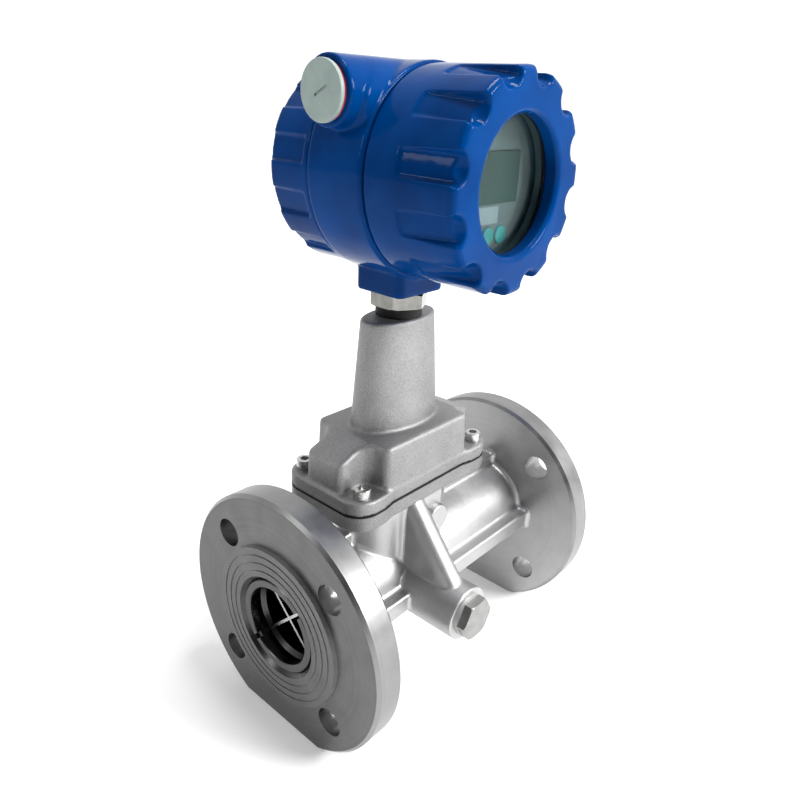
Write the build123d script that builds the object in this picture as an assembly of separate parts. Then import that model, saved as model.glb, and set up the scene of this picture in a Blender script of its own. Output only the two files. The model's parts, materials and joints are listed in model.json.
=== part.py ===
from build123d import *
import math
import os

os.makedirs("parts", exist_ok=True)

# Swirl flow meter for a DN50 pipe line. All sizes are millimetres.
# X runs along the pipe: the inlet is at +X and the outlet at -X. The window faces -Y, and Z is up.
# The origin lies on the plane of the two base flats, midway between the flange faces.

# Clearances
running_gap = 0.3
fit_gap = 0.05
loose_gap = 0.25

# Cutting shapes run this far past the faces that they open,
# and a joined piece this far into its neighbour
past = 1.0
# Edges to be rounded are found by their place, within this distance
near = 0.01

# Pipe body: flanges
face_to_face = 230.0
axis_high = 73.0
flange_r = 82.5
flange_thick = 18.5
rim_chamfer = 2.0
raised_r = 51.0
raised_high = 3.0
bolt_circle_r = 62.5
bolt_hole_r = 9.0
bolt_count = 4
bolt_hole_past = 8.0
groove_outer_r = 46.7
groove_pitch = 4.9
groove_count = 3
groove_wide = 1.2
groove_deep = 0.6

# Pipe body: barrel and ribs
barrel_r = 34.0
rib_reach = 42.0
rib_thick = 12.5
rib_tip_round = 1.8
rib_root_round = 4.0
flange_root_round = 3.5

# Bore, from the inlet pocket through the throat to the outlet pocket
pocket_r = 30.0
pocket_bevel = 2.8
inlet_pocket_deep = 64.0
outlet_pocket_deep = 50.0
bore_r = 25.4
throat_r = 17.0
throat_before_sensor = 40.0
throat_after_sensor = 14.0

# Retaining rings and the two fixed vane sets
ring_wide = 4.9
ring_thick = 5.5
ring_set_back = 1.5
ring_bevel = 0.5
ring_notch_wide = 3.4
ring_notch_deep = 2.4
ring_notch_turn = -45.0
mouth_wall = 2.5
vane_set_back = 4.5
mouth_bevel = 2.7
cross_thick = 1.8
cross_long = 32.0
vane_sink = 0.5
swirl_vane_count = 6
swirl_vane_thick = 2.0
swirl_hub_r = 7.0
swirl_vane_long = 42.0
swirl_twist = 60.0
swirl_nose_long = 9.0
swirl_shoulder_long = 3.0
swirl_shoulder_r = 4.9

# Support and pad, about the sensor axis
sensor_x = -16.0
support_half_long = 41.0
support_half_wide = 25.5
block_half_long = 20.0
block_half_wide = 28.4
block_round = 3.5
block_root_round = 6.0
support_root_round = 4.0
pad_past_hump = 2.0
pad_past_case = 2.2
pad_corner_r = 14.0
waist_deep = 1.7
waist_inside_case = 5.7
waist_run = 8.0
waist_round = 14.0
pad_bottom = 134.0
pad_thick = 9.8
pad_edge_round = 2.0
pad_root_round = 3.0

# Side port boss, gusset and the small cast boss beside them
port_before_sensor = -8.3
port_boss_r = 17.4
port_boss_reach = 74.5
port_boss_round = 1.2
port_root_round = 3.0
port_bore_r = 10.0
port_bore_deep = 28.0
pressure_tap_r = 2.0
gusset_thick = 17.0
gusset_top_reach = 32.0
gusset_foot_reach = 65.5
gusset_foot_high = 18.5
cast_boss_r = 9.5
cast_boss_from_sensor = 10.5
cast_boss_high = 41.0
cast_boss_proud = 4.5
washer_r = 13.5
washer_thick = 2.0
plug_flats = 24.0
plug_head_high = 5.8
plug_bevel = 1.0
plug_shank_long = 14.0

# Vortex sensor
sensor_bore_r = 8.5
sensor_flange_r = 18.5
sensor_flange_thick = 5.0
sensor_neck_r = 6.0
sensor_neck_high = 14.0
sensor_fin_thick = 3.0
sensor_fin_wide = 12.0
sensor_fin_past_wall = 15.0
sensor_wire_r = 2.5
o_ring_thick = 2.0
sensor_ring_r = 10.8
sensor_screw_circle_r = 14.5
sensor_screw_count = 4
sensor_screw_r = 2.0
sensor_screw_head_r = 3.5
sensor_screw_head_high = 4.0
sensor_screw_long = 14.0
screw_bevel_share = 0.08

# Gasket and cover
gasket_thick = 1.2
lip_thick = 8.5
lip_edge_round = 1.5
case_top = 180.0
case_half_long = 38.7
case_half_wide = 31.0
case_draft = 2.5
hump_past_case = 22.5
hump_half_wide = 15.3
hump_end_high = 171.0
pocket_inner_r = 9.5
case_corner_round = 5.5
case_edge_round = 2.6
case_end_wall = 5.7
case_side_wall = 8.0
cavity_round = 6.0
cavity_top = 172.0
neck_inside_case = 5.7
neck_foot_half_wide = 19.8
neck_top_half_long = 28.0
neck_top_half_wide = 15.0
neck_foot_round = 2.0
neck_top_round = 1.2
neck_top = 246.0
neck_wall = 6.0
neck_thread_long = 20.0
neck_hollow_top_half_long = 14.0
cover_screw_from_end = 10.7
cover_screw_from_side = 8.7
cover_screw_r = 3.0
cover_screw_head_r = 5.0
cover_screw_head_high = 6.0
cover_screw_long = 17.0
screw_hole_play = 0.3

# Neck stem, seal and nut
stem_r = 10.0
stem_bore_r = 7.0
stem_bevel = 0.5
seal_r = 13.7
seal_high = 6.0
seal_round = 1.0
nut_flats = 30.0
nut_high = 8.2
nut_bevel = 1.3
clip_r = 12.5
clip_thick = 1.5
clip_groove_deep = 1.2
clip_opening = 6.0
clip_pocket_high = 6.0
stem_past_clip = 1.5

# Converter head, about its own axis along Y
head_high = 325.5
housing_r = 54.5
housing_front = -20.0
housing_back = 18.0
housing_bevel = 1.0
housing_bore_r = 48.0
divider_front = -14.0
divider_thick = 3.0
wire_hole_r = 4.0
wire_hole_high = 30.0
block_half_x = 19.0
block_half_y = 17.5
head_block_round = 4.0
head_block_edge = 1.5
conduit_high = 38.0
conduit_y = -1.0
conduit_boss_r = 16.3
conduit_boss_round = 0.8
conduit_root_r = 18.0
conduit_root_drop = 2.4
conduit_root_proud = 8.0
conduit_boss_reach = 58.0
conduit_step = 8.0
conduit_bore_r = 9.25
conduit_seal_r = 13.2
conduit_seal_thick = 1.5
conduit_disc_r = 13.9
conduit_disc_thick = 2.5
conduit_disc_round = 0.6
conduit_shank_long = 12.0

# Screwed covers
cover_r = 53.3
cover_rim_round = 3.5
spigot_long = 5.0
spigot_wall = 3.7
front_rim = -75.3
front_band_long = 20.7
rear_rim = 50.0
rear_band_long = 4.5
rear_rim_round = 3.0
lug_count = 12
lug_angle = 15.0
lug_turn = 3.5
front_valley_r = 50.2
front_valley_slope = 7.0
scoop_r = 8.5
scoop_ahead = 1.5
rear_valley_r = 51.0
rear_valley_slope = 1.5
valley_over = 8.0
valley_round = 1.6
rear_end_wall = 5.0
window_r = 33.0
window_bevel = 1.8
glass_r = 38.0
glass_thick = 3.5
glass_front = -66.0
window_gasket_thick = 0.8
window_ring_thick = 4.0
window_ring_wide = 8.0

# Display stack behind the window
module_r = 36.0
module_thick = 20.0
post_circle_r = 39.5
post_r = 2.5
post_count = 4
board_front = -51.6
board_thick = 1.6
display_r = 42.3
bezel_front = -56.0
bezel_wall = 1.6
bezel_round = 0.6
lcd_half_wide = 22.0
lcd_bottom = -10.0
lcd_top = 15.0
lcd_proud = 1.2
lcd_flange = 4.5
label_left = -31.0
label_right = 8.0
label_top = -11.5
label_bottom = -20.0
label_thick = 0.25
button_r = 4.6
button_pitch = 10.8
button_count = 3
button_drop = -26.0
button_proud = 1.2
button_flange = 0.6
button_flange_thick = 0.8
button_travel = 0.5
button_round = 0.5
switch_half = 3.0

# Terminal compartment
terminal_board_half_wide = 30.0
terminal_board_half_high = 17.0
terminal_half_wide = 26.0
terminal_half_high = 9.0
terminal_long = 18.0
terminal_count = 4
terminal_pitch = 12.0
terminal_screw_r = 3.0
terminal_screw_sunk = 3.0
terminal_screw_deep = 9.0
terminal_screw_up = 3.0
terminal_wire_half = 3.0
terminal_wire_from = 6.0
terminal_wire_to = 12.0
ground_screw_drop = -30.0
ground_screw_head_r = 4.5
ground_screw_head_high = 3.0
ground_screw_r = 2.5
ground_screw_deep = 2.0
screw_slot_wide = 1.0
screw_slot_deep = 1.0

# Heights and places worked out from the sizes above
half_length = face_to_face / 2
flange_inner = half_length - raised_high - flange_thick
inlet_pocket_end = half_length - inlet_pocket_deep
outlet_pocket_end = -half_length + outlet_pocket_deep
ring_outer_face = half_length - ring_set_back
ring_inner_face = ring_outer_face - ring_thick
hump_half_long = case_half_long + hump_past_case
pad_half_long = hump_half_long + pad_past_hump
pad_half_wide = case_half_wide + pad_past_case
waist_half_long = case_half_long - waist_inside_case
waist_half_wide = pad_half_wide - waist_deep
cavity_half_long = case_half_long - case_end_wall
cavity_half_wide = case_half_wide - case_side_wall
neck_foot_half_long = case_half_long - neck_inside_case
cover_screw_x = pad_half_long - cover_screw_from_end
cover_screw_y = pad_half_wide - cover_screw_from_side
pad_top = pad_bottom + pad_thick
lip_bottom = pad_top + gasket_thick
lip_top = lip_bottom + lip_thick
port_x = sensor_x + port_before_sensor
seal_top = neck_top + seal_high
nut_top = seal_top + nut_high
head_bottom = nut_top + running_gap
clip_seat = head_high - housing_bore_r
stem_top = clip_seat + running_gap + clip_thick + stem_past_clip
front_seam = housing_front - running_gap
rear_seam = housing_back + running_gap
spigot_r = housing_bore_r - running_gap
cavity_r = spigot_r - spigot_wall
glass_back = glass_front + glass_thick
window_lip = glass_front - window_gasket_thick
divider_back = divider_front + divider_thick
board_back = board_front + board_thick
bezel_back = bezel_front + bezel_wall
switch_top = bezel_back + running_gap + button_flange_thick + button_travel + running_gap


# Basic shapes
def block(x_from, x_to, y_from, y_to, z_from, z_to):
    size = Box(x_to - x_from, y_to - y_from, z_to - z_from)
    return Pos((x_from + x_to) / 2, (y_from + y_to) / 2, (z_from + z_to) / 2) * size


def rod_x(radius, x_from, x_to, y=0.0, z=0.0):
    return Pos((x_from + x_to) / 2, y, z) * Rot(0, 90, 0) * Cylinder(radius, abs(x_to - x_from))


def rod_y(radius, y_from, y_to, x=0.0, z=0.0):
    return Pos(x, (y_from + y_to) / 2, z) * Rot(90, 0, 0) * Cylinder(radius, abs(y_to - y_from))


def rod_z(radius, z_from, z_to, x=0.0, y=0.0):
    return Pos(x, y, (z_from + z_to) / 2) * Cylinder(radius, abs(z_to - z_from))


def turned_x(points):
    # A profile of (x, radius) points turned about the pipe axis
    profile = make_face(Polyline(*points, close=True))
    return Pos(0, 0, axis_high) * revolve(Plane.XZ * profile, Axis.X)


def turned_head(points):
    # A profile of (radius, y) points turned about the head axis
    profile = make_face(Polyline(*points, close=True))
    return Pos(sensor_x, 0, head_high) * revolve(profile, Axis.Y)


def head_rod(radius, y_from, y_to, across=0.0, up=0.0):
    return rod_y(radius, y_from, y_to, sensor_x + across, head_high + up)


def head_block(across_from, across_to, y_from, y_to, up_from, up_to):
    return block(sensor_x + across_from, sensor_x + across_to, y_from, y_to,
                 head_high + up_from, head_high + up_to)


def standing_plate(half_long, half_wide, corner_r, z_from, z_to):
    # A rounded rectangle about the sensor axis
    outline = RectangleRounded(2 * half_long, 2 * half_wide, corner_r)
    return Pos(sensor_x, 0, z_from) * extrude(outline, z_to - z_from)


def flange_plate(z_from, z_to):
    # The outline of the joint between body and cover: a rounded rectangle with a waist along each side
    plate = RectangleRounded(2 * pad_half_long, 2 * pad_half_wide, pad_corner_r)
    waist_end = waist_half_long + waist_run
    waist = make_face(Polyline(
        (-waist_end, pad_half_wide),
        (-waist_half_long, waist_half_wide),
        (waist_half_long, waist_half_wide),
        (waist_end, pad_half_wide),
        close=True))
    plate = plate - waist - mirror(waist, Plane.XZ)
    bends = [v for v in plate.vertices() if waist_half_long - near < abs(v.X) < waist_end + near]
    plate = fillet(bends, waist_round)
    return Pos(sensor_x, 0, z_from) * extrude(plate, z_to - z_from)


def polar(count, start=0.0):
    return [start + 360.0 * step / count for step in range(count)]


def on_circle(radius, angle):
    return radius * math.cos(math.radians(angle)), radius * math.sin(math.radians(angle))


def socket_screw(shank_r, shank_long, head_r, head_high_own):
    # Head seat at z 0, shank down
    head = rod_z(head_r, 0, head_high_own)
    rim = head.edges().filter_by(GeomType.CIRCLE).sort_by(Axis.Z)[-1]
    head = chamfer(rim, screw_bevel_share * head_r)
    socket = RegularPolygon(head_r / 2, 6, major_radius=False)
    recess = Pos(0, 0, head_high_own / 2) * extrude(socket, head_high_own)
    return head + rod_z(shank_r, -shank_long, 0) - recess


# The cast pipe body
def barrel_section():
    section = Circle(barrel_r) + Rectangle(2 * rib_reach, rib_thick)
    section += Rectangle(rib_thick, 2 * rib_reach)
    roots = [v for v in section.vertices() if Vector(v).length < rib_reach - past]
    section = fillet(roots, rib_root_round)
    return fillet([v for v in section.vertices() if Vector(v).length > rib_reach], rib_tip_round)


def flange_disc():
    # The inlet flange as turned, with its raised face
    step = half_length - raised_high
    return turned_x([
        (flange_inner, 0),
        (flange_inner, flange_r - rim_chamfer),
        (flange_inner + rim_chamfer, flange_r),
        (step - rim_chamfer, flange_r),
        (step, flange_r - rim_chamfer),
        (step, raised_r),
        (half_length, raised_r),
        (half_length, 0),
    ])


def both_ends(shape):
    return shape + mirror(shape, Plane.YZ)


def gusset():
    # A slanted web with a half-round outer edge, from the pad down to the port boss
    edge_r = gusset_thick / 2
    top = Vector(0, -gusset_top_reach, pad_bottom)
    foot = Vector(0, -gusset_foot_reach, axis_high + gusset_foot_high)
    along = (foot - top).normalized()
    inward = Vector(0, -along.Z, along.Y) * edge_r
    if inward.Y < 0:
        inward = inward * -1
    line_foot = foot + inward
    line_top = top + inward
    line_top = line_top + along * ((pad_bottom - line_top.Z) / along.Z)
    web = Polyline((line_top.Y, line_top.Z), (line_foot.Y, line_foot.Z), (line_foot.Y, axis_high),
                   (0, axis_high), (0, line_top.Z), close=True)
    web = extrude(Plane.YZ * make_face(web), edge_r, both=True)
    length = (line_foot - line_top).length
    middle = (line_foot + line_top) / 2
    lean = math.degrees(math.atan2(along.Y, along.Z))
    edge = Pos(0, middle.Y, middle.Z) * Rot(-lean, 0, 0) * Cylinder(edge_r, length)
    ball = Pos(0, line_foot.Y, line_foot.Z) * Sphere(edge_r)
    return Pos(port_x, 0, 0) * (web + edge + ball)


def flow_bore():
    throat_start = sensor_x + throat_before_sensor
    throat_end = sensor_x - throat_after_sensor
    return turned_x([
        (half_length + past, 0),
        (half_length + past, pocket_r + pocket_bevel + past),
        (half_length - pocket_bevel, pocket_r),
        (inlet_pocket_end, pocket_r),
        (inlet_pocket_end, bore_r),
        (throat_start, throat_r),
        (throat_end, throat_r),
        (outlet_pocket_end, bore_r),
        (outlet_pocket_end, pocket_r),
        (-half_length + pocket_bevel, pocket_r),
        (-half_length - past, pocket_r + pocket_bevel + past),
        (-half_length - past, 0),
    ])


def face_grooves():
    grooves = []
    for turn in range(groove_count):
        outer = groove_outer_r + groove_wide / 2 - turn * groove_pitch
        ring = rod_x(outer, half_length - groove_deep, half_length + past, z=axis_high)
        ring -= rod_x(outer - groove_wide, half_length - groove_deep - past, half_length + 2 * past,
                      z=axis_high)
        grooves.append(ring)
    return grooves


def bolt_holes():
    holes = []
    for angle in polar(bolt_count, 180.0 / bolt_count):
        across, up = on_circle(bolt_circle_r, angle)
        for side in (-1, 1):
            holes.append(rod_x(bolt_hole_r, side * (flange_inner - bolt_hole_past),
                               side * (half_length + past), across, axis_high + up))
    return holes


def lies_flat_at(edge, high):
    size = edge.bounding_box()
    return abs(size.min.Z - high) < near and abs(size.max.Z - high) < near


def make_support():
    # The oval foot with its block, rounded into the underside of the pad
    oval = SlotOverall(2 * support_half_long, 2 * support_half_wide)
    foot = Pos(sensor_x, 0, axis_high) * extrude(oval, pad_bottom - axis_high + past)
    foot += standing_plate(block_half_long, block_half_wide, block_round, axis_high, pad_bottom + past)
    tall = pad_bottom - axis_high
    corners = [e for e in foot.edges() if e.bounding_box().size.Z > tall / 2
               and abs(abs(e.center().X - sensor_x) - block_half_long) < near
               and abs(e.center().Y) < block_half_wide - past]
    foot = fillet(corners, block_root_round)
    pad = flange_plate(pad_bottom, pad_top)
    pad = fillet(pad.faces().sort_by(Axis.Z)[0].edges(), pad_edge_round)
    stand = foot + pad
    under = [e for e in stand.edges() if lies_flat_at(e, pad_bottom)
             and abs(e.center().Y) < pad_half_wide - pad_edge_round - near
             and abs(e.center().X - sensor_x) < support_half_long + past]
    return fillet(under, pad_root_round)


def make_barrel():
    # The ribbed barrel, rounded into both flanges
    section = Plane.YZ * barrel_section()
    barrel = Pos(-flange_inner, 0, axis_high) * extrude(section, 2 * flange_inner)
    body = barrel + both_ends(flange_disc())
    joins = [e for e in body.edges() if abs(abs(e.center().X) - flange_inner) < near
             and e.bounding_box().size.X < near
             and (e @ 0 - Vector((e @ 0).X, 0, axis_high)).length < rib_reach + past]
    return fillet(joins, flange_root_round)


def from_port_axis(point):
    return math.hypot(point.X - port_x, point.Z - axis_high)


def make_side_branch(body):
    # The side port boss with its gusset, rounded into the barrel and the side rib
    boss = rod_y(port_boss_r, -port_boss_reach, 0, port_x, axis_high)
    boss = fillet(boss.edges().filter_by(GeomType.CIRCLE).sort_by(Axis.Y)[0], port_boss_round)
    cast_boss = rod_y(cast_boss_r, -block_half_wide - cast_boss_proud, 0,
                      sensor_x + cast_boss_from_sensor, axis_high + cast_boss_high)
    cast_boss = fillet(cast_boss.edges().filter_by(GeomType.CIRCLE).sort_by(Axis.Y)[0], port_boss_round)
    body = body + boss + gusset() + cast_boss
    joins = [e for e in body.edges()
             if all(abs(from_port_axis(e @ part) - port_boss_r) < near for part in (0.1, 0.5, 0.9))
             and -port_boss_reach + port_boss_round + past < (e @ 0.5).Y < -barrel_r / 2]
    seam = [e for e in joins if e.geom_type == GeomType.LINE and abs((e @ 0.5).Z - axis_high) < near]
    return fillet([e for e in joins if e not in seam], port_root_round)


def make_meter_body():
    body = make_barrel() + make_support()
    rib_top = axis_high + rib_reach
    joins = [e for e in body.edges() if e.bounding_box().size.X < 2 * support_half_long
             and abs((e @ 0.5).X - sensor_x) < support_half_long + past
             and axis_high + rib_thick / 2 + past < (e @ 0.5).Z < rib_top + near]
    body = fillet(joins, support_root_round)
    body = make_side_branch(body)
    body -= flow_bore()
    for groove in face_grooves():
        body -= groove
        body -= mirror(groove, Plane.YZ)
    for hole in bolt_holes():
        body -= hole
    body -= block(-half_length - past, half_length + past, -flange_r, flange_r, -flange_r, 0)
    body -= rod_y(port_bore_r, -port_boss_reach - past, -port_boss_reach + port_bore_deep, port_x,
                  axis_high)
    body -= rod_y(pressure_tap_r, -port_boss_reach, 0, port_x, axis_high)
    body -= rod_z(sensor_bore_r + fit_gap, axis_high, pad_top + past, sensor_x)
    seat = pad_top - sensor_flange_thick
    body -= rod_z(sensor_flange_r + loose_gap, seat, pad_top + past, sensor_x)
    groove = rod_z(sensor_ring_r + o_ring_thick / 2, seat - o_ring_thick, seat, sensor_x)
    groove -= rod_z(sensor_ring_r - o_ring_thick / 2, seat - o_ring_thick - past, seat + past, sensor_x)
    body -= groove
    for across, along in sensor_screw_places():
        body -= rod_z(sensor_screw_r + fit_gap, pad_top - sensor_screw_long - past, pad_top,
                      sensor_x + across, along)
    for across, along in cover_screw_places():
        body -= rod_z(cover_screw_r + fit_gap, lip_top - cover_screw_long - past, pad_top + past,
                      sensor_x + across, along)
    return body


def sensor_screw_places():
    return [on_circle(sensor_screw_circle_r, angle) for angle in polar(sensor_screw_count, 45.0)]


def cover_screw_places():
    return [(side * cover_screw_x, end * cover_screw_y) for side in (-1, 1) for end in (-1, 1)]


# Retaining rings and vane sets
def make_retaining_ring(side):
    outer = pocket_r - loose_gap
    ring = turned_x([
        (ring_inner_face, outer - ring_wide),
        (ring_inner_face, outer),
        (ring_outer_face - ring_bevel, outer),
        (ring_outer_face, outer - ring_bevel),
        (ring_outer_face, outer - ring_wide + ring_bevel),
        (ring_outer_face - ring_bevel, outer - ring_wide),
    ])
    notch = block(ring_outer_face - ring_notch_deep, ring_outer_face + past,
                  -outer - past, outer + past, -ring_notch_wide / 2, ring_notch_wide / 2)
    notch = Pos(0, 0, axis_high) * Rot(ring_notch_turn, 0, 0) * notch
    ring -= notch
    return ring if side > 0 else mirror(ring, Plane.YZ)


def vane_tube(pocket_end):
    outer = pocket_r - fit_gap
    mouth = outer - mouth_wall
    step = ring_inner_face - vane_set_back
    return turned_x([
        (ring_inner_face, mouth),
        (ring_inner_face, outer),
        (pocket_end, outer),
        (pocket_end, bore_r),
        (step - mouth_bevel, bore_r),
        (step, mouth),
    ])


def make_outlet_deswirler():
    # Two crossed plates fixed in a tube; modelled at +X and mirrored to the outlet
    tube = vane_tube(-outlet_pocket_end)
    start = ring_inner_face - vane_set_back
    reach = bore_r + past
    blades = [block(start - cross_long, start, -reach, reach, -cross_thick / 2, cross_thick / 2)]
    blades.append(Rot(90, 0, 0) * blades[0])
    cross = Pos(0, 0, axis_high) * Rot(45, 0, 0) * (blades[0] + blades[1])
    within = rod_x(bore_r + vane_sink, start - cross_long - past, start + past, z=axis_high)
    return mirror(tube + (cross & within), Plane.YZ)


def make_inlet_swirler():
    tube = vane_tube(inlet_pocket_end)
    start = ring_inner_face - vane_set_back - mouth_bevel
    star = Circle(swirl_hub_r)
    for angle in polar(swirl_vane_count):
        vane = Pos(bore_r / 2, 0) * Rectangle(bore_r + 2 * vane_sink, swirl_vane_thick)
        star += Rot(0, 0, angle) * vane
    twisted = Solid.extrude_linear_with_rotation(
        star.face(), Vector(0, 0, 0), Vector(0, 0, swirl_vane_long), swirl_twist)
    twisted = Pos(start - swirl_vane_long, 0, axis_high) * Rot(0, 90, 0) * twisted
    nose = turned_x([
        (start - vane_sink, 0),
        (start - vane_sink, swirl_hub_r),
        (start + swirl_shoulder_long, swirl_shoulder_r),
        (start + swirl_nose_long, 0),
    ])
    return tube + twisted + nose


# Side port
def make_side_port_washer():
    front = -port_boss_reach - washer_thick
    outer = rod_y(washer_r, front, -port_boss_reach, port_x, axis_high)
    return outer - rod_y(port_bore_r, front - past, -port_boss_reach + past, port_x, axis_high)


def make_side_port_plug():
    seat = -port_boss_reach - washer_thick
    hexagon = RegularPolygon(plug_flats / 2, 6, major_radius=False)
    head = extrude(hexagon, plug_head_high)
    corner_r = plug_flats / math.sqrt(3)
    rounding = Pos(0, 0, plug_head_high / 2) * Cylinder(corner_r, plug_head_high)
    rounding = chamfer(rounding.edges().filter_by(GeomType.CIRCLE).sort_by(Axis.Z)[-1], plug_bevel)
    head = Pos(port_x, seat, axis_high) * Rot(90, 0, 0) * (head & rounding)
    shank_end = -port_boss_reach + plug_shank_long
    return head + rod_y(port_bore_r - fit_gap, seat, shank_end, port_x, axis_high)


# Vortex sensor
def make_vortex_sensor():
    seat = pad_top - sensor_flange_thick
    sensor = rod_z(sensor_flange_r, seat, pad_top, sensor_x)
    sensor += rod_z(sensor_bore_r, axis_high + throat_r, seat, sensor_x)
    sensor += rod_z(sensor_neck_r, pad_top, pad_top + sensor_neck_high, sensor_x)
    fin_bottom = axis_high + throat_r - sensor_fin_past_wall
    sensor += block(sensor_x - sensor_fin_wide / 2, sensor_x + sensor_fin_wide / 2,
                    -sensor_fin_thick / 2, sensor_fin_thick / 2,
                     fin_bottom, axis_high + throat_r + past)
    sensor -= rod_z(sensor_wire_r, pad_top, pad_top + sensor_neck_high + past, sensor_x)
    for across, along in sensor_screw_places():
        sensor -= rod_z(sensor_screw_r + screw_hole_play, seat - past, pad_top + past,
                        sensor_x + across, along)
    return sensor


def make_sensor_o_ring():
    minor = o_ring_thick / 2 - fit_gap
    middle = pad_top - sensor_flange_thick - o_ring_thick / 2
    return Pos(sensor_x, 0, middle) * Torus(sensor_ring_r, minor)


def make_sensor_screws():
    shape = socket_screw(sensor_screw_r, sensor_screw_long, sensor_screw_head_r, sensor_screw_head_high)
    return [Pos(sensor_x + across, along, pad_top) * shape for across, along in sensor_screw_places()]


# Gasket and sensor cover
def make_cover_gasket():
    gasket = flange_plate(pad_top, lip_bottom)
    gasket -= standing_plate(cavity_half_long, cavity_half_wide, cavity_round, pad_top - past,
                             lip_bottom + past)
    for across, along in cover_screw_places():
        gasket -= rod_z(cover_screw_r + screw_hole_play, pad_top - past, lip_bottom + past,
                        sensor_x + across, along)
    return gasket


def cover_case():
    # The box, with a hump that runs out over the lip between the corner pockets at each end
    plan = Rectangle(2 * case_half_long, 2 * case_half_wide)
    plan += Rectangle(2 * hump_half_long, 2 * hump_half_wide)
    inner = [v for v in plan.vertices() if abs(v.X) < case_half_long + near
             and abs(v.Y) < hump_half_wide + near]
    plan = fillet(inner, pocket_inner_r)
    outer = [v for v in plan.vertices() if abs(v.X) > hump_half_long - near
             or abs(v.Y) > case_half_wide - near]
    plan = fillet(outer, case_corner_round)
    low = lip_top - past
    case = Pos(0, 0, low) * extrude(plan, case_top - low, taper=case_draft)
    above_roof = Polyline(
        (case_half_long, case_top),
        (hump_half_long, hump_end_high),
        (hump_half_long + past, hump_end_high),
        (hump_half_long + past, case_top + past),
        (case_half_long, case_top + past),
        close=True)
    above_roof = extrude(Plane.XZ * make_face(above_roof), case_half_wide, both=True)
    case = case - above_roof - mirror(above_roof, Plane.YZ)
    return Pos(sensor_x, 0, 0) * case


def tapered_ellipse(half_long_low, half_wide_low, z_low, half_long_high, half_wide_high, z_high):
    low = Pos(sensor_x, 0, z_low) * Ellipse(half_long_low, half_wide_low)
    high = Pos(sensor_x, 0, z_high) * Ellipse(half_long_high, half_wide_high)
    return loft([low, high])


def make_sensor_cover():
    case = cover_case()
    tops = [e for e in case.edges() if e.center().Z > hump_end_high - case_edge_round]
    case = fillet(tops, case_edge_round)
    neck = tapered_ellipse(neck_foot_half_long, neck_foot_half_wide, case_top,
                           neck_top_half_long, neck_top_half_wide, neck_top)
    cover = case + neck
    foot = [e for e in cover.edges() if abs(e.center().Z - case_top) < near
            and e.geom_type == GeomType.ELLIPSE]
    cover = fillet(foot, neck_foot_round)
    rim = [e for e in cover.edges() if e.bounding_box().min.Z > neck_top - near]
    cover = fillet(rim, neck_top_round)
    lip = flange_plate(lip_bottom, lip_top)
    lip = fillet(lip.faces().sort_by(Axis.Z)[-1].edges(), lip_edge_round)
    cover += lip
    cover -= standing_plate(cavity_half_long, cavity_half_wide, cavity_round, lip_bottom - past,
                            cavity_top)
    thread_start = neck_top - neck_thread_long
    cover -= tapered_ellipse(neck_foot_half_long - neck_wall, neck_foot_half_wide - neck_wall,
                             cavity_top - past, neck_hollow_top_half_long, stem_r, thread_start)
    cover -= rod_z(stem_r + fit_gap, thread_start - past, neck_top + past, sensor_x)
    for across, along in cover_screw_places():
        cover -= rod_z(cover_screw_r + screw_hole_play, lip_bottom - past, lip_top + past,
                       sensor_x + across, along)
    return cover


def make_cover_screws():
    shape = socket_screw(cover_screw_r, cover_screw_long, cover_screw_head_r, cover_screw_head_high)
    return [Pos(sensor_x + across, along, lip_top) * shape for across, along in cover_screw_places()]


# Neck stem, seal, nut and clip
def make_neck_stem():
    stem_bottom = neck_top - neck_thread_long + past
    stem = rod_z(stem_r, stem_bottom, stem_top, sensor_x)
    stem = chamfer(stem.edges().filter_by(GeomType.CIRCLE).sort_by(Axis.Z)[-1], stem_bevel)
    stem -= rod_z(stem_bore_r, stem_bottom - past, stem_top + past, sensor_x)
    clip_bottom = clip_seat + running_gap
    clip_top = clip_bottom + clip_thick
    groove = rod_z(stem_r + past, clip_bottom, clip_top, sensor_x)
    groove -= rod_z(stem_r - clip_groove_deep, clip_bottom - past, clip_top + past, sensor_x)
    return stem - groove


def make_stem_clip():
    clip_bottom = clip_seat + running_gap
    clip_top = clip_bottom + clip_thick
    clip = rod_z(clip_r, clip_bottom, clip_top, sensor_x)
    clip -= rod_z(stem_r - clip_groove_deep + fit_gap, clip_bottom - past, clip_top + past, sensor_x)
    return clip - block(sensor_x - clip_opening / 2, sensor_x + clip_opening / 2, 0, clip_r + past,
                        clip_bottom - past, clip_top + past)


def make_neck_seal():
    seal = rod_z(seal_r, neck_top, seal_top, sensor_x)
    seal = fillet(seal.edges().filter_by(GeomType.CIRCLE).sort_by(Axis.Z)[-1], seal_round)
    return seal - rod_z(stem_r + fit_gap, neck_top - past, seal_top + past, sensor_x)


def make_lock_nut():
    hexagon = RegularPolygon(nut_flats / 2, 6, major_radius=False, rotation=30)
    nut = Pos(0, 0, seal_top) * extrude(hexagon, nut_high)
    corner_r = nut_flats / math.sqrt(3)
    rounding = rod_z(corner_r, seal_top, nut_top)
    rounding = chamfer(rounding.edges().filter_by(GeomType.CIRCLE), nut_bevel / 2, nut_bevel)
    nut = Pos(sensor_x, 0, 0) * (nut & rounding)
    return nut - rod_z(stem_r + fit_gap, seal_top - past, nut_top + past, sensor_x)


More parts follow.
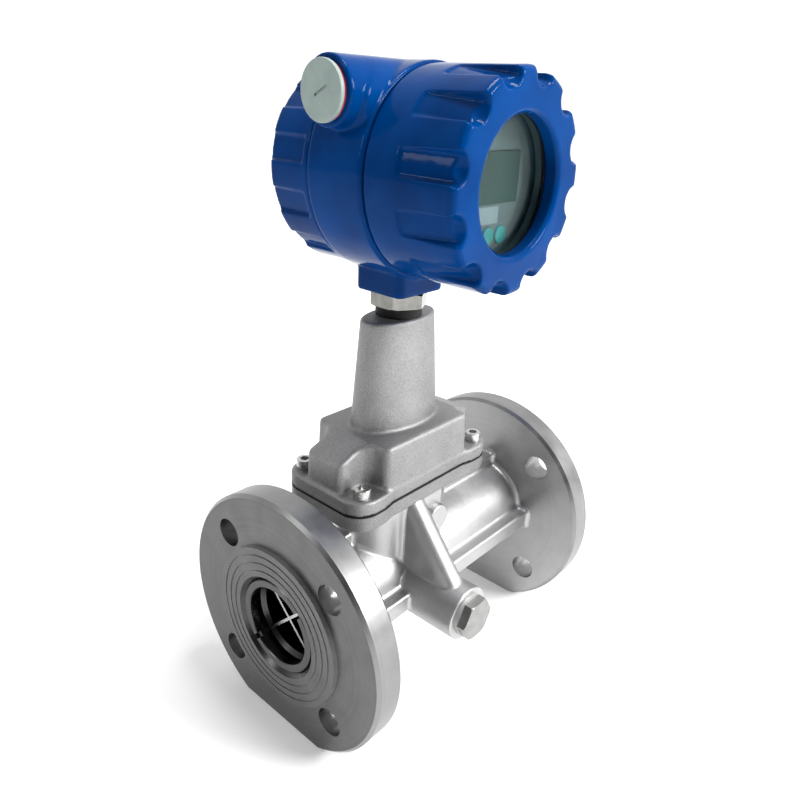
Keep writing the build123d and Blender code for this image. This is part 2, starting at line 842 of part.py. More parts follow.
# Converter head
def make_head_housing():
    housing = head_rod(housing_r, housing_front, housing_back)
    housing = chamfer(housing.edges().filter_by(GeomType.CIRCLE), housing_bevel)
    swivel = RectangleRounded(2 * block_half_x, 2 * block_half_y, head_block_round)
    swivel = Pos(sensor_x, 0, head_bottom) * extrude(swivel, head_high - housing_bore_r - head_bottom)
    swivel = fillet(swivel.faces().sort_by(Axis.Z)[0].edges(), head_block_edge)
    housing += swivel
    boss_face = conduit_boss_reach
    for side in (-1, 1):
        boss = rod_x(conduit_boss_r, 0, side * boss_face, conduit_y, conduit_high)
        edges = boss.edges().filter_by(GeomType.CIRCLE).sort_by(Axis.X)
        boss = fillet(edges[0] if side < 0 else edges[-1], conduit_boss_round)
        root = Pos(side * (boss_face - conduit_step) / 2, conduit_y, conduit_high - conduit_root_drop)
        root = root * Rot(0, 90, 0) * Cylinder(conduit_root_r, boss_face - conduit_step)
        edges = root.edges().filter_by(GeomType.CIRCLE).sort_by(Axis.X)
        root = fillet(edges[0] if side < 0 else edges[-1], conduit_root_r - conduit_boss_r)
        root &= rod_y(housing_r + conduit_root_proud, housing_front, housing_back)
        housing += Pos(sensor_x, 0, head_high) * (boss + root)
    housing -= head_rod(housing_bore_r, housing_front - past, divider_front)
    housing -= head_rod(housing_bore_r, divider_back, housing_back + past)
    housing -= head_rod(wire_hole_r, divider_front - past, divider_back + past, up=wire_hole_high)
    housing -= rod_z(clip_r + past, clip_seat, clip_seat + clip_pocket_high, sensor_x)
    housing -= rod_z(stem_r + fit_gap, head_bottom - past, clip_seat + past, sensor_x)
    for side in (-1, 1):
        housing -= rod_x(conduit_bore_r, sensor_x + side * housing_bore_r / 2,
                         sensor_x + side * (boss_face + past), conduit_y, head_high + conduit_high)
    housing -= head_rod(ground_screw_r + fit_gap, divider_back - ground_screw_deep, divider_back + past,
                        up=ground_screw_drop)
    return housing


def valley_tool(valley_r, length):
    # One wide hollow between two grip lugs, about Z, centred on the X axis
    half_angle = (360.0 / lug_count - lug_angle) / 2
    outer = cover_r + valley_over
    floor = ThreePointArc(
        on_circle(valley_r, -half_angle), (valley_r, 0), on_circle(valley_r, half_angle))
    sides = Polyline(on_circle(valley_r, half_angle), on_circle(outer, half_angle),
                     on_circle(outer, -half_angle), on_circle(valley_r, -half_angle))
    tool = extrude(make_face([sides, floor]), length / 2, both=True)
    low = [e for e in tool.edges() if e.bounding_box().size.Z > length / 2 and e.center().X < cover_r]
    return fillet(low, valley_round)


def cut_valleys(cover, valley_r, slope, band_end, rim):
    # Each valley deepens towards the rim; valley_r is its floor at half its length
    toward_rim = 1 if rim > band_end else -1
    past_rim = rim + toward_rim
    tool = valley_tool(valley_r, abs(past_rim - band_end))
    tool = Pos(valley_r, 0, 0) * Rot(0, toward_rim * slope, 0) * Pos(-valley_r, 0, 0) * tool
    for centre in polar(lug_count, lug_turn + 180.0 / lug_count):
        turned_tool = Rot(0, -centre, 0) * Rot(90, 0, 0) * tool
        cover -= Pos(sensor_x, (band_end + past_rim) / 2, head_high) * turned_tool
    return cover


def spigot_points(seam, inward):
    # The threaded spigot with its ring groove; inward is +1 towards the housing
    end = seam + inward * spigot_long
    mid = seam + inward * spigot_long / 2
    half = o_ring_thick / 2 + fit_gap
    deep = spigot_r - o_ring_thick - fit_gap
    return [
        (spigot_r, seam),
        (spigot_r, mid - inward * half),
        (deep, mid - inward * half),
        (deep, mid + inward * half),
        (spigot_r, mid + inward * half),
        (spigot_r, end),
        (cavity_r, end),
    ]


def make_front_cover():
    cover = turned_head(spigot_points(front_seam, 1) + [
        (cavity_r, glass_back),
        (glass_r + loose_gap, glass_back),
        (glass_r + loose_gap, window_lip),
        (window_r, window_lip),
        (window_r, front_rim + window_bevel),
        (window_r + window_bevel, front_rim),
        (cover_r, front_rim),
        (cover_r, front_seam - housing_bevel),
        (cover_r - housing_bevel, front_seam),
    ])
    rim = [e for e in cover.edges().filter_by(GeomType.CIRCLE)
           if e.center().Y < front_rim + near and e.radius > cover_r - near]
    cover = fillet(rim, cover_rim_round)
    cover = cut_valleys(cover, front_valley_r, front_valley_slope, front_seam - front_band_long,
                        front_rim)
    # Each valley ends in a round scoop in the rim
    scoop = Pos(sensor_x, front_rim - scoop_ahead, head_high)
    for centre in polar(lug_count, lug_turn + 180.0 / lug_count):
        cover -= scoop * Rot(0, -centre, 0) * Pos(cover_r, 0, 0) * Sphere(scoop_r)
    return cover


def make_rear_cover():
    cover = turned_head(spigot_points(rear_seam, -1) + [
        (cavity_r, rear_rim - rear_end_wall),
        (0, rear_rim - rear_end_wall),
        (0, rear_rim),
        (cover_r - rear_rim_round, rear_rim),
        (cover_r, rear_rim - rear_rim_round),
        (cover_r, rear_seam + housing_bevel),
        (cover_r - housing_bevel, rear_seam),
    ])
    return cut_valleys(cover, rear_valley_r, rear_valley_slope, rear_seam + rear_band_long, rear_rim)


def make_cover_o_ring(seam, inward):
    ring = Torus(spigot_r - o_ring_thick / 2, o_ring_thick / 2)
    return Pos(sensor_x, seam + inward * spigot_long / 2, head_high) * Rot(90, 0, 0) * ring


def head_ring(outer, inner, y_from, y_to):
    return head_rod(outer, y_from, y_to) - head_rod(inner, y_from - past, y_to + past)


def make_window_gasket():
    return head_ring(glass_r, window_r + loose_gap, window_lip, glass_front)


def make_window_glass():
    return head_rod(glass_r, glass_front, glass_back)


def make_window_ring():
    outer = cavity_r - loose_gap
    return head_ring(outer, outer - window_ring_wide, glass_back, glass_back + window_ring_thick)


# Conduit plugs
def make_conduit_plug(side):
    seat = conduit_boss_reach + conduit_seal_thick
    plug = rod_x(conduit_disc_r, seat, seat + conduit_disc_thick, conduit_y, conduit_high)
    plug = fillet(plug.edges().filter_by(GeomType.CIRCLE), conduit_disc_round)
    plug += rod_x(conduit_bore_r - fit_gap, conduit_boss_reach - conduit_shank_long, seat + past,
                  conduit_y, conduit_high)
    if side < 0:
        plug = mirror(plug, Plane.YZ)
    return Pos(sensor_x, 0, head_high) * plug


def make_conduit_seal(side):
    seat = conduit_boss_reach
    ring = rod_x(conduit_seal_r, side * seat, side * (seat + conduit_seal_thick), conduit_y,
                 conduit_high)
    ring -= rod_x(conduit_bore_r, side * (seat - past), side * (seat + conduit_seal_thick + past),
                  conduit_y, conduit_high)
    return Pos(sensor_x, 0, head_high) * ring


# Display stack
def make_electronics_module():
    return head_rod(module_r, divider_front - module_thick, divider_front)


def make_board_posts():
    places = [on_circle(post_circle_r, angle) for angle in polar(post_count, 45.0)]
    return [head_rod(post_r, board_back, divider_front, across, up) for across, up in places]


def make_display_board():
    return head_rod(display_r, board_front, board_back)


def button_places():
    middle = (button_count - 1) / 2
    return [(step - middle) * button_pitch for step in range(button_count)]


def make_display_bezel():
    bezel = head_rod(display_r, bezel_front, board_front)
    bezel = fillet(bezel.edges().filter_by(GeomType.CIRCLE).sort_by(Axis.Y)[0], bezel_round)
    bezel -= head_rod(display_r - bezel_wall, bezel_back, board_front + past)
    bezel -= head_block(-lcd_half_wide - loose_gap, lcd_half_wide + loose_gap, bezel_front - past,
                        bezel_back + past, lcd_bottom - loose_gap, lcd_top + loose_gap)
    for across in button_places():
        bezel -= head_rod(button_r + running_gap, bezel_front - past, bezel_back + past, across,
                          button_drop)
    return bezel


def make_display_label():
    return head_block(label_left, label_right, bezel_front - label_thick, bezel_front, label_bottom,
                      label_top)


def make_lcd_panel():
    panel = head_block(-lcd_half_wide - lcd_flange, lcd_half_wide + lcd_flange, bezel_back + loose_gap,
                       board_front, lcd_bottom - lcd_flange, lcd_top + lcd_flange)
    return panel + head_block(-lcd_half_wide, lcd_half_wide, bezel_front - lcd_proud, board_front,
                              lcd_bottom, lcd_top)


def make_button(across):
    flange_front = bezel_back + running_gap
    back = flange_front + button_flange_thick
    cap = head_rod(button_r, bezel_front - button_proud, back, across, button_drop)
    cap = fillet(cap.edges().filter_by(GeomType.CIRCLE).sort_by(Axis.Y)[0], button_round)
    return cap + head_rod(button_r + button_flange, flange_front, back, across, button_drop)


def make_button_switches():
    return [head_block(across - switch_half, across + switch_half, switch_top, board_front,
                       button_drop - switch_half, button_drop + switch_half)
             for across in button_places()]


# Terminal compartment
def make_terminal_board():
    return head_block(-terminal_board_half_wide, terminal_board_half_wide, divider_back,
                      divider_back + board_thick, -terminal_board_half_high, terminal_board_half_high)


def terminal_places():
    middle = (terminal_count - 1) / 2
    return [(step - middle) * terminal_pitch for step in range(terminal_count)]


def make_terminal_block():
    front = divider_back + board_thick
    back = front + terminal_long
    body = head_block(-terminal_half_wide, terminal_half_wide, front, back,
                      -terminal_half_high, terminal_half_high)
    for across in terminal_places():
        body -= head_rod(terminal_screw_r + fit_gap, back - terminal_screw_deep, back + past, across,
                         terminal_screw_up)
        body -= head_block(across - terminal_wire_half, across + terminal_wire_half,
                           back - terminal_wire_to,
                           back - terminal_wire_from, -terminal_half_high - past, -terminal_screw_up)
    return body


def make_terminal_screws():
    back = divider_back + board_thick + terminal_long
    screws = []
    for across in terminal_places():
        top = back - terminal_screw_sunk
        screw = head_rod(terminal_screw_r, back - terminal_screw_deep, top, across, terminal_screw_up)
        screw -= head_block(across - terminal_screw_r - past, across + terminal_screw_r + past,
                            top - screw_slot_deep, top + past,
                            terminal_screw_up - screw_slot_wide / 2,
                             terminal_screw_up + screw_slot_wide / 2)
        screws.append(screw)
    return screws


def make_ground_screw():
    top = divider_back + ground_screw_head_high
    screw = head_rod(ground_screw_head_r, divider_back, top, up=ground_screw_drop)
    screw += head_rod(ground_screw_r, divider_back - ground_screw_deep, divider_back + past,
                      up=ground_screw_drop)
    return screw - head_block(-ground_screw_head_r - past, ground_screw_head_r + past,
                              top - screw_slot_deep, top + past,
                              ground_screw_drop - screw_slot_wide / 2,
                               ground_screw_drop + screw_slot_wide / 2)


pieces = {
    "meter_body": make_meter_body(),
    "inlet_swirler": make_inlet_swirler(),
    "inlet_retaining_ring": make_retaining_ring(1),
    "outlet_deswirler": make_outlet_deswirler(),
    "outlet_retaining_ring": make_retaining_ring(-1),
    "side_port_washer": make_side_port_washer(),
    "side_port_plug": make_side_port_plug(),
    "vortex_sensor": make_vortex_sensor(),
    "sensor_o_ring": make_sensor_o_ring(),
    "sensor_screws": make_sensor_screws(),
    "cover_gasket": make_cover_gasket(),
    "sensor_cover": make_sensor_cover(),
    "cover_screws": make_cover_screws(),
    "neck_stem": make_neck_stem(),
    "stem_clip": make_stem_clip(),
    "neck_seal": make_neck_seal(),
    "lock_nut": make_lock_nut(),
    "head_housing": make_head_housing(),
    "front_cover": make_front_cover(),
    "front_cover_o_ring": make_cover_o_ring(front_seam, 1),
    "window_gasket": make_window_gasket(),
    "window_glass": make_window_glass(),
    "window_ring": make_window_ring(),
    "rear_cover": make_rear_cover(),
    "rear_cover_o_ring": make_cover_o_ring(rear_seam, -1),
    "conduit_plug_left": make_conduit_plug(-1),
    "conduit_plug_right": make_conduit_plug(1),
    "conduit_seal_left": make_conduit_seal(-1),
    "conduit_seal_right": make_conduit_seal(1),
    "electronics_module": make_electronics_module(),
    "board_posts": make_board_posts(),
    "display_board": make_display_board(),
    "display_bezel": make_display_bezel(),
    "display_label": make_display_label(),
    "lcd_panel": make_lcd_panel(),
    "button_switches": make_button_switches(),
    "terminal_board": make_terminal_board(),
    "terminal_block": make_terminal_block(),
    "terminal_screws": make_terminal_screws(),
    "ground_screw": make_ground_screw(),
}
for number, place in enumerate(button_places(), start=1):
    pieces[f"button_{number}"] = make_button(place)

for name, shape in pieces.items():
    solids = shape if isinstance(shape, list) else shape.solids()
    export_step(Compound(children=list(solids)), f"parts/{name}.step")
    print(name, len(solids), round(sum(s.volume for s in solids)))
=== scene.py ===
import json
import math

import bpy
from mathutils import Matrix, Vector

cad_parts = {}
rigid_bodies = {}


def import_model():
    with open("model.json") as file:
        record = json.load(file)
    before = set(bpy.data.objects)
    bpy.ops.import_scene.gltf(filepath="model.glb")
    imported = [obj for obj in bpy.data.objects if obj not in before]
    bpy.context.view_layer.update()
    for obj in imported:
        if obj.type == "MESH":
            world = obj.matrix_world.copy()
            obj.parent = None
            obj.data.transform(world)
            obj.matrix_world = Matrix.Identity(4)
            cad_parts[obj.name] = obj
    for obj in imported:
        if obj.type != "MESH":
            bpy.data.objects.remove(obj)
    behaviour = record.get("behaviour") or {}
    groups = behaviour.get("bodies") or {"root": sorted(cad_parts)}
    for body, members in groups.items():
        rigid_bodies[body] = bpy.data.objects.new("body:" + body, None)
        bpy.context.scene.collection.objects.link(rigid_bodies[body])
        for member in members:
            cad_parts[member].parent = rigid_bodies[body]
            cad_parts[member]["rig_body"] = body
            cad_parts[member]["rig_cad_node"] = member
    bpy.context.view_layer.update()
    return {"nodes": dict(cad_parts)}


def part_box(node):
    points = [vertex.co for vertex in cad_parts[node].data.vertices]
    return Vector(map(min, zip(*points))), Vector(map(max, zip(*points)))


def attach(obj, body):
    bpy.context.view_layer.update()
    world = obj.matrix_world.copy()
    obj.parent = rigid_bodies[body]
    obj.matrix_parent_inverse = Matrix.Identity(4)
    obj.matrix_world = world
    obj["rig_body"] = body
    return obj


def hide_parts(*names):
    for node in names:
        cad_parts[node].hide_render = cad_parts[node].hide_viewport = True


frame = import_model()
print("frame loaded:", len(frame["nodes"]), "nodes")

# where things are, in metres, as in the part's source
pipe = {"high": 0.073, "halfLength": 0.115, "flangeInner": 0.0935}
sensorAxis = -0.016

# the view that the photograph was taken from, solved from the two flanges
cameraView = {
    "place": (-0.31541, -0.26283, 0.36439),
    "azimuth": -49.685,
    "elevation": 23.965,
    "roll": 2.833,
    "lens": 31.5757,
    "sensorWidth": 36,
    "shift": (-0.0067, 0.0060),
    "nearest": 0.01,
}

# the floor glows less near the object, and the air is bright on one side only
studio = {
    "floorWide": 12.0,
    "floorDrop": 0.0003,
    "floorColour": (0.82, 0.82, 0.82),
    "floorRough": 0.9,
    "floorShine": 0.1,
    "glowNear": 0.20,
    "glowFar": 0.55,
    "glowFrom": 0.25,
    "glowTo": 0.90,
    "brightSide": 1.12,
    "darkSide": 0.06,
    "darkUpTo": -0.95,
    "brightFrom": 0.55,
    "brightToward": (0.90, 0.43, 0.0),
    "key": {"place": (0.55, -1.30, 0.95), "size": 0.6, "watts": 32, "aim": (0.0, 0.0, 0.18)},
    "top": {"place": (0.15, -0.15, 1.45), "size": 0.4, "watts": 12, "aim": (0.0, 0.0, 0.2)},
    "side": {"place": (-1.2, 0.5, 0.9), "size": 0.35, "watts": 3, "aim": (0.0, 0.0, 0.2)},
}
white = (1, 1, 1, 1)


# shader nodes
def setValues(node, values):
    for name, value in values.items():
        node.inputs[name].default_value = value


def addNode(tree, kind, settings=None, values=None):
    node = tree.nodes.new("ShaderNode" + kind)
    for name, value in (settings or {}).items():
        setattr(node, name, value)
    setValues(node, values or {})
    return node


def ranged(tree, value, low, high, fromLow=0.3, fromHigh=0.7, ease="LINEAR"):
    # a noise stays mostly between 0.3 and 0.7, which is stretched here from low to high
    spread = addNode(tree, "MapRange", {"interpolation_type": ease},
                     {"From Min": fromLow, "From Max": fromHigh, "To Min": low, "To Max": high})
    tree.links.new(value, spread.inputs["Value"])
    return spread.outputs[0]


def newFinish(name):
    finish = bpy.data.materials.new(name)
    finish.use_nodes = True
    tree = finish.node_tree
    return finish, tree, tree.nodes["Principled BSDF"]


def makeCamera():
    turn = math.radians(cameraView["azimuth"])
    rise = math.radians(cameraView["elevation"])
    roll = math.radians(cameraView["roll"])
    back = Vector((math.sin(turn) * math.cos(rise), -math.cos(turn) * math.cos(rise), math.sin(rise)))
    right = Vector((0, 0, 1)).cross(back).normalized()
    up = back.cross(right)
    rolledRight = right * math.cos(roll) + up * math.sin(roll)
    rolledUp = up * math.cos(roll) - right * math.sin(roll)
    facing = Matrix((rolledRight, rolledUp, back)).transposed().to_4x4()
    bpy.ops.object.camera_add()
    camera = bpy.context.active_object
    camera.name = "photoCamera"
    camera.matrix_world = Matrix.Translation(cameraView["place"]) @ facing
    camera.data.sensor_width = cameraView["sensorWidth"]
    camera.data.lens = cameraView["lens"]
    camera.data.shift_x, camera.data.shift_y = cameraView["shift"]
    camera.data.clip_start = cameraView["nearest"]
    bpy.context.scene.camera = camera


def makeFloor():
    # the pale floor brightens away from the object, so that it ends in plain white
    bpy.ops.mesh.primitive_plane_add(size=studio["floorWide"], location=(0, 0, -studio["floorDrop"]))
    floor = bpy.context.active_object
    floor.name = "studioFloor"
    finish, tree, shader = newFinish("paleFloor")
    setValues(shader, {
        "Base Color": (*studio["floorColour"], 1),
        "Roughness": studio["floorRough"],
        "Specular IOR Level": studio["floorShine"],
        "Emission Color": white,
    })
    place = addNode(tree, "TexCoord")
    reach = addNode(tree, "VectorMath", {"operation": "LENGTH"})
    tree.links.new(place.outputs["Object"], reach.inputs[0])
    glow = ranged(tree, reach.outputs["Value"], studio["glowNear"], studio["glowFar"],
                  studio["glowFrom"], studio["glowTo"], "SMOOTHSTEP")
    tree.links.new(glow, shader.inputs["Emission Strength"])
    floor.data.materials.append(finish)


def addSoftLamp(name, lamp):
    bpy.ops.object.light_add(type="AREA", location=lamp["place"])
    light = bpy.context.active_object
    light.name = name
    light.data.shape = "DISK"
    light.data.size = lamp["size"]
    light.data.energy = lamp["watts"]
    toward = Vector(lamp["aim"]) - Vector(lamp["place"])
    light.rotation_euler = toward.to_track_quat("-Z", "Y").to_euler()


def makeAir():
    # soft light all round, bright behind the object and dark on the camera's side
    world = bpy.context.scene.world or bpy.data.worlds.new("studioAir")
    bpy.context.scene.world = world
    world.use_nodes = True
    tree = world.node_tree
    tree.nodes.clear()
    out = addNode(tree, "OutputWorld")
    air = addNode(tree, "Background", None, {"Color": white})
    toward = addNode(tree, "TexCoord")
    along = addNode(tree, "VectorMath", {"operation": "DOT_PRODUCT"})
    along.inputs[1].default_value = studio["brightToward"]
    tree.links.new(toward.outputs["Generated"], along.inputs[0])
    strength = ranged(tree, along.outputs["Value"], studio["darkSide"], studio["brightSide"],
                      studio["darkUpTo"], studio["brightFrom"], "SMOOTHSTEP")
    tree.links.new(strength, air.inputs["Strength"])
    tree.links.new(air.outputs[0], out.inputs[0])
    bpy.context.scene.view_settings.view_transform = "Standard"


makeCamera()
makeFloor()
for name in ("key", "top", "side"):
    addSoftLamp(name + "Lamp", studio[name])
makeAir()
print("camera, floor and lamps placed")


# finishes, all on object coordinates: noise scales per metre, heights in metres
castSkin = {"cloudScale": 42, "cloudLow": 0.2, "cloudTop": 0.8,
            "grainScale": 1500, "grainShown": 0.8,
            "waveScale": 130, "waveHigh": 0.00035, "waveShown": 0.6,
            "smoother": 0.05, "duller": 0.07}
latheSkin = {"fineScale": 2600, "fineShown": 0.7, "coarseScale": 420, "coarseShare": 0.25,
             "cloudScale": 55, "cloudShare": 0.75, "smoother": 0.05, "duller": 0.06}
enamelSkin = {"peelScale": 260, "peelHigh": 0.00010, "peelShown": 0.35,
              "sagScale": 32, "sagHigh": 0.0016, "sagShown": 0.45,
              "smoothest": 0.07, "dullest": 0.12, "shine": 0.05}
plasticSkin = {"cloudScale": 90, "grainScale": 1400, "grainHigh": 0.00003, "grainShown": 0.6,
               "smoother": 0.05, "duller": 0.06, "shine": 0.25}
steelSkin = {"cloudScale": 160, "scratchScale": 320, "scratchStretch": 14,
             "scratchHigh": 0.00002, "scratchShown": 0.5, "smoother": 0.04, "duller": 0.08}
glassSkin = {"waveScale": 40, "waveHigh": 0.0001, "waveShown": 0.15,
             "smoothest": 0.01, "dullest": 0.04, "bending": 1.2}


def objectPoint(tree, shift=(0, 0, 0), stretch=(1, 1, 1)):
    coordinates = addNode(tree, "TexCoord")
    mapping = addNode(tree, "Mapping", None, {"Location": shift, "Scale": stretch})
    tree.links.new(coordinates.outputs["Object"], mapping.inputs["Vector"])
    return mapping.outputs["Vector"]


def noiseAt(tree, point, scale, detail=3.0, roughness=0.55):
    noise = addNode(tree, "TexNoise", None, {"Scale": scale, "Detail": detail, "Roughness": roughness})
    tree.links.new(point, noise.inputs["Vector"])
    return noise.outputs["Fac"]


def summed(tree, first, second):
    both = addNode(tree, "Math", {"operation": "ADD"})
    tree.links.new(first, both.inputs[0])
    tree.links.new(second, both.inputs[1])
    return both.outputs[0]


def mixedColour(tree, share, first, second):
    mix = addNode(tree, "Mix", {"data_type": "RGBA"})
    colours = [socket for socket in mix.inputs if socket.type == "RGBA"]
    colours[0].default_value = (*first, 1)
    colours[1].default_value = (*second, 1)
    tree.links.new(share, mix.inputs["Factor"])
    return [socket for socket in mix.outputs if socket.type == "RGBA"][0]


def bumped(tree, height, distance, strength, under=None):
    bump = addNode(tree, "Bump", None, {"Strength": strength, "Distance": distance})
    tree.links.new(height, bump.inputs["Height"])
    if under is not None:
        tree.links.new(under, bump.inputs["Normal"])
    return bump.outputs["Normal"]


def texture(tree, shader, colour, rough, normal):
    for name, source in (("Base Color", colour), ("Roughness", rough), ("Normal", normal)):
        tree.links.new(source, shader.inputs[name])


def roughAround(tree, noise, rough, skinOf):
    # the roughness, a little smoother here and duller there
    return ranged(tree, noise, rough - skinOf["smoother"], rough + skinOf["duller"])


def sandCast(name, dark, light, rough, grain, speckle=0.25):
    # cast and blasted aluminium: fine grain over soft waves
    finish, tree, shader = newFinish(name)
    point = objectPoint(tree)
    cloud = noiseAt(tree, point, castSkin["cloudScale"], 4)
    fine = noiseAt(tree, point, castSkin["grainScale"], 2, 0.6)
    waves = noiseAt(tree, point, castSkin["waveScale"], 2)
    spots = summed(tree, ranged(tree, fine, -speckle, speckle),
                   ranged(tree, cloud, castSkin["cloudLow"], castSkin["cloudTop"]))
    swell = bumped(tree, waves, castSkin["waveHigh"], castSkin["waveShown"])
    texture(tree, shader,
            mixedColour(tree, spots, dark, light),
            roughAround(tree, fine, rough, castSkin),
            bumped(tree, fine, grain, castSkin["grainShown"], swell))
    shader.inputs["Metallic"].default_value = 1.0
    return finish


def turnedMarks(name, along, dark, light, rough, depth):
    # lathe marks run round the pipe axis: a flat face has them one outside the other, and a
    # round one has them side by side along the pipe
    finish, tree, shader = newFinish(name)
    if along:
        split = addNode(tree, "SeparateXYZ")
        tree.links.new(objectPoint(tree), split.inputs[0])
        reach = split.outputs["X"]
    else:
        length = addNode(tree, "VectorMath", {"operation": "LENGTH"})
        tree.links.new(objectPoint(tree, (0, 0, -pipe["high"]), (0, 1, 1)), length.inputs[0])
        reach = length.outputs["Value"]
    layers = []
    for scale, detail in ((latheSkin["fineScale"], 2.0), (latheSkin["coarseScale"], 3.0)):
        marks = addNode(tree, "TexNoise", {"noise_dimensions": "1D"},
                        {"Scale": scale, "Detail": detail})
        tree.links.new(reach, marks.inputs["W"])
        layers.append(marks.outputs["Fac"])
    fine, coarse = layers
    cloud = noiseAt(tree, objectPoint(tree), latheSkin["cloudScale"], 4)
    faint = summed(tree, ranged(tree, coarse, 0, latheSkin["coarseShare"]),
                   ranged(tree, cloud, 0, latheSkin["cloudShare"]))
    texture(tree, shader,
            mixedColour(tree, faint, dark, light),
            roughAround(tree, cloud, rough, latheSkin),
            bumped(tree, fine, depth, latheSkin["fineShown"]))
    shader.inputs["Metallic"].default_value = 1.0
    return finish


def enamel(name, deep, bright):
    # thick blue enamel: orange peel under a clear glossy skin
    finish, tree, shader = newFinish(name)
    point = objectPoint(tree)
    peel = noiseAt(tree, point, enamelSkin["peelScale"], 2, 0.5)
    sag = noiseAt(tree, point, enamelSkin["sagScale"], 2, 0.5)
    waves = bumped(tree, sag, enamelSkin["sagHigh"], enamelSkin["sagShown"])
    texture(tree, shader,
            mixedColour(tree, ranged(tree, sag, 0, 1), deep, bright),
            ranged(tree, peel, enamelSkin["smoothest"], enamelSkin["dullest"]),
            bumped(tree, peel, enamelSkin["peelHigh"], enamelSkin["peelShown"], waves))
    shader.inputs["Specular IOR Level"].default_value = enamelSkin["shine"]
    return finish


def mouldedPlastic(name, dark, light, rough, metal=0.0):
    # plastic, rubber and soft washers: cloudy colour and a fine grain
    finish, tree, shader = newFinish(name)
    point = objectPoint(tree)
    cloud = noiseAt(tree, point, plasticSkin["cloudScale"], 3)
    fine = noiseAt(tree, point, plasticSkin["grainScale"], 2, 0.6)
    texture(tree, shader,
            mixedColour(tree, ranged(tree, cloud, 0, 1), dark, light),
            roughAround(tree, fine, rough, plasticSkin),
            bumped(tree, fine, plasticSkin["grainHigh"], plasticSkin["grainShown"]))
    setValues(shader, {"Metallic": metal, "Specular IOR Level": plasticSkin["shine"]})
    return finish


def polishedMetal(name, dark, light, rough):
    # plated or bright steel: faint cloudy sheen and fine scratches
    finish, tree, shader = newFinish(name)
    cloud = noiseAt(tree, objectPoint(tree), steelSkin["cloudScale"], 4)
    drawn = objectPoint(tree, stretch=(1, 1, steelSkin["scratchStretch"]))
    lines = noiseAt(tree, drawn, steelSkin["scratchScale"], 3, 0.7)
    texture(tree, shader,
            mixedColour(tree, ranged(tree, cloud, 0, 1), dark, light),
            roughAround(tree, lines, rough, steelSkin),
            bumped(tree, lines, steelSkin["scratchHigh"], steelSkin["scratchShown"]))
    shader.inputs["Metallic"].default_value = 1.0
    return finish


def windowGlass(name, tint):
    # clear glass that is a little wavy and tinted
    finish, tree, shader = newFinish(name)
    waves = noiseAt(tree, objectPoint(tree), glassSkin["waveScale"], 1)
    swell = bumped(tree, waves, glassSkin["waveHigh"], glassSkin["waveShown"])
    gloss = ranged(tree, waves, glassSkin["smoothest"], glassSkin["dullest"])
    tree.links.new(swell, shader.inputs["Normal"])
    tree.links.new(gloss, shader.inputs["Roughness"])
    setValues(shader, {
        "Base Color": (*tint, 1),
        "Transmission Weight": 1.0,
        "IOR": glassSkin["bending"],
    })
    return finish


def grey(tone):
    return (tone, tone, tone)


castAluminium = sandCast("castAluminium", grey(0.43), grey(0.53), 0.42, 0.00006)
blastedAluminium = sandCast("blastedAluminium", grey(0.23), grey(0.34), 0.56, 0.00022, 0.9)
# painted shade: the outward flange faces are the same turned metal as the backs, made much darker
flangeFaceInPaintedShade = turnedMarks("flangeFaceInPaintedShade", False, grey(0.100), grey(0.155), 0.36, 0.000002)
flangeBack = turnedMarks("flangeBack", False, grey(0.34), grey(0.42), 0.40, 0.000002)
flangeRim = turnedMarks("flangeRim", True, grey(0.22), grey(0.30), 0.36, 0.000004)
# painted shade: near-black metal for the bore and the vanes inside it, standing in for the shade deep
# in the pipe
paintedBoreShade = turnedMarks("paintedBoreShade", True, grey(0.05), grey(0.08), 0.28, 0.000004)
# painted shade: the retaining rings in the bore mouths are near-black metal, as they sit in shade
ringInPaintedShade = turnedMarks("ringInPaintedShade", False, grey(0.07), grey(0.10), 0.28, 0.000003)
# bright steel for the screws, sensor and stem, and also the painted highlight on the swirler plate
# edges
brightSteelAndEdgeHighlight = polishedMetal("brightSteelAndEdgeHighlight", (0.46, 0.46, 0.45), (0.58, 0.58, 0.57), 0.24)
darkSteel = polishedMetal("darkSteel", (0.10, 0.10, 0.10), (0.18, 0.18, 0.175), 0.30)
nickelPlate = polishedMetal("nickelPlate", (0.15, 0.15, 0.142), (0.22, 0.22, 0.206), 0.10)
hexPlugSteel = polishedMetal("hexPlugSteel", (0.26, 0.26, 0.252), (0.33, 0.33, 0.322), 0.30)
brassParts = polishedMetal("brassParts", (0.55, 0.38, 0.14), (0.70, 0.52, 0.22), 0.25)
blueEnamel = enamel("blueEnamel", (0.0, 0.026, 0.125), (0.0, 0.042, 0.190))
blackRubber = mouldedPlastic("blackRubber", (0.003, 0.003, 0.004), (0.006, 0.006, 0.007), 0.6)
redRubber = mouldedPlastic("redRubber", (0.42, 0.035, 0.045), (0.55, 0.06, 0.07), 0.45)
transportPlastic = mouldedPlastic("transportPlastic", (0.25, 0.31, 0.295), (0.30, 0.37, 0.35), 0.42)
displayPlastic = mouldedPlastic("displayPlastic", (0.07, 0.11, 0.12), (0.10, 0.15, 0.16), 0.5)
labelPaper = mouldedPlastic("labelPaper", (0.22, 0.28, 0.31), (0.27, 0.34, 0.37), 0.6)
screenGlass = mouldedPlastic("screenGlass", (0.006, 0.035, 0.033), (0.010, 0.050, 0.045), 0.25)
tealPlastic = mouldedPlastic("tealPlastic", (0.01, 0.26, 0.27), (0.02, 0.36, 0.36), 0.25)
boardGreen = mouldedPlastic("boardGreen", (0.01, 0.09, 0.04), (0.02, 0.14, 0.06), 0.4)
blackPlastic = mouldedPlastic("blackPlastic", (0.010, 0.010, 0.011), (0.020, 0.020, 0.021), 0.4)
terminalPlastic = mouldedPlastic("terminalPlastic", (0.02, 0.10, 0.05), (0.03, 0.15, 0.07), 0.45)
